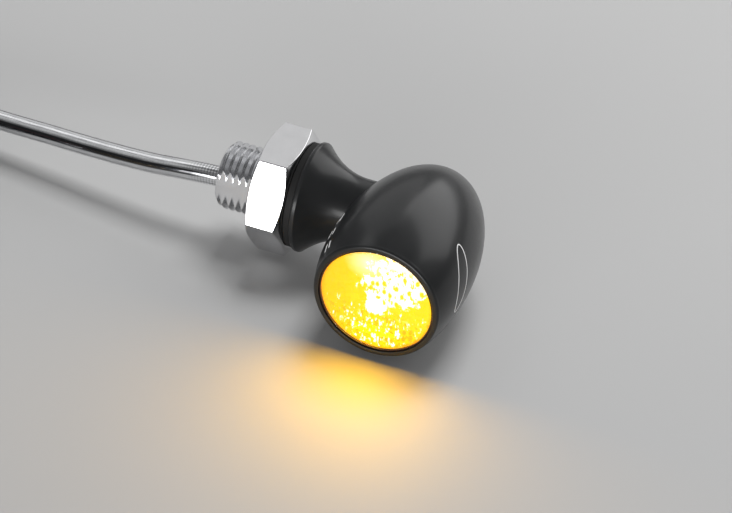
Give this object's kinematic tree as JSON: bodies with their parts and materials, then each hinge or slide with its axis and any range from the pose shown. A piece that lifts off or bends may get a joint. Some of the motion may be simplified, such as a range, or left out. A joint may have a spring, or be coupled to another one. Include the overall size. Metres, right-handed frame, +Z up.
{
  "type": "turn signal indicator",
  "caption": "Bullet-shaped motorcycle turn signal on a trumpet stalk with a hollow threaded stud, hex nut, washer and a thin cable ending in bullet terminals.",
  "frame": {"origin": "centre of the mounting shoulder, where the stud's axis meets the flange's back face", "axes": "+X along the stud's axis into the head, the lens faces -Y, +Z up; the object lies on the plane of its lowest point"},
  "size_m": [0.0624, 0.0326, 0.0101],
  "materials": {
    "anodised_black": "matte black anodised",
    "amber_lens": "clear gloss, lit amber",
    "seal_rubber": "matt",
    "metallised": "metallised gloss",
    "led_ceramic": "satin ceramic",
    "led_silicone": "clear silicone, lit",
    "board_white": "white solder mask",
    "solder": "soldered",
    "chip_black": "moulded epoxy",
    "resistor_black": "glazed",
    "capacitor_tan": "ceramic",
    "resin_dark": "cast resin",
    "insulation_red": "satin PVC",
    "insulation_black": "satin PVC",
    "stud_steel": "bright nickel, turned",
    "nut_chrome": "polished chrome",
    "washer_black": "black satin",
    "cable_clear": "clear jacket over silvery braid",
    "tie_black": "satin nylon",
    "shrink_black": "satin heat shrink",
    "terminal_brass": "tin-free bright brass",
    "sleeve_red": "soft vinyl",
    "sleeve_black": "soft vinyl"
  },
  "bodies": {
    "root": {"housing": "anodised_black", "lens": "amber_lens", "lens_seal": "seal_rubber", "reflector": "metallised", "led_base": "led_ceramic", "led_dome": "led_silicone", "circuit_board": "board_white", "solder_pads": "solder", "driver_chip": "chip_black", "resistors": "resistor_black", "capacitors": "capacitor_tan", "diode": "chip_black", "potting": "resin_dark", "conductor_positive": "insulation_red", "conductor_ground": "insulation_black", "threaded_stud": "stud_steel", "stud_sealant": "seal_rubber", "inner_cable": "cable_clear", "cable_lead": "cable_clear", "cable_coil": "cable_clear", "cable_tail": "cable_clear", "coil_ties": "tie_black", "heat_shrink": "shrink_black", "lead_positive": "insulation_red", "lead_ground": "insulation_black", "sleeve_positive": "sleeve_red", "sleeve_ground": "sleeve_black", "terminal_positive": "terminal_brass", "terminal_ground": "terminal_brass"},
    "washer": {"washer": "washer_black"},
    "nut": {"hex_nut": "nut_chrome"}
  },
  "joints": [
    {"name": "washer_slide", "type": "slide", "parent": "root", "child": "washer", "axis": [-1, 0, 0], "range_m": [0, 0.006]},
    {"name": "nut_turn", "type": "hinge", "parent": "washer", "child": "nut", "pos_m": [0, 0, 0], "axis": [-1, 0, 0], "range_deg": [0, 4320]}
  ],
  "couplings": [
    {"joint": "washer_slide", "follows": "nut_turn", "m_per_rad": 0.000079577}
  ]
}
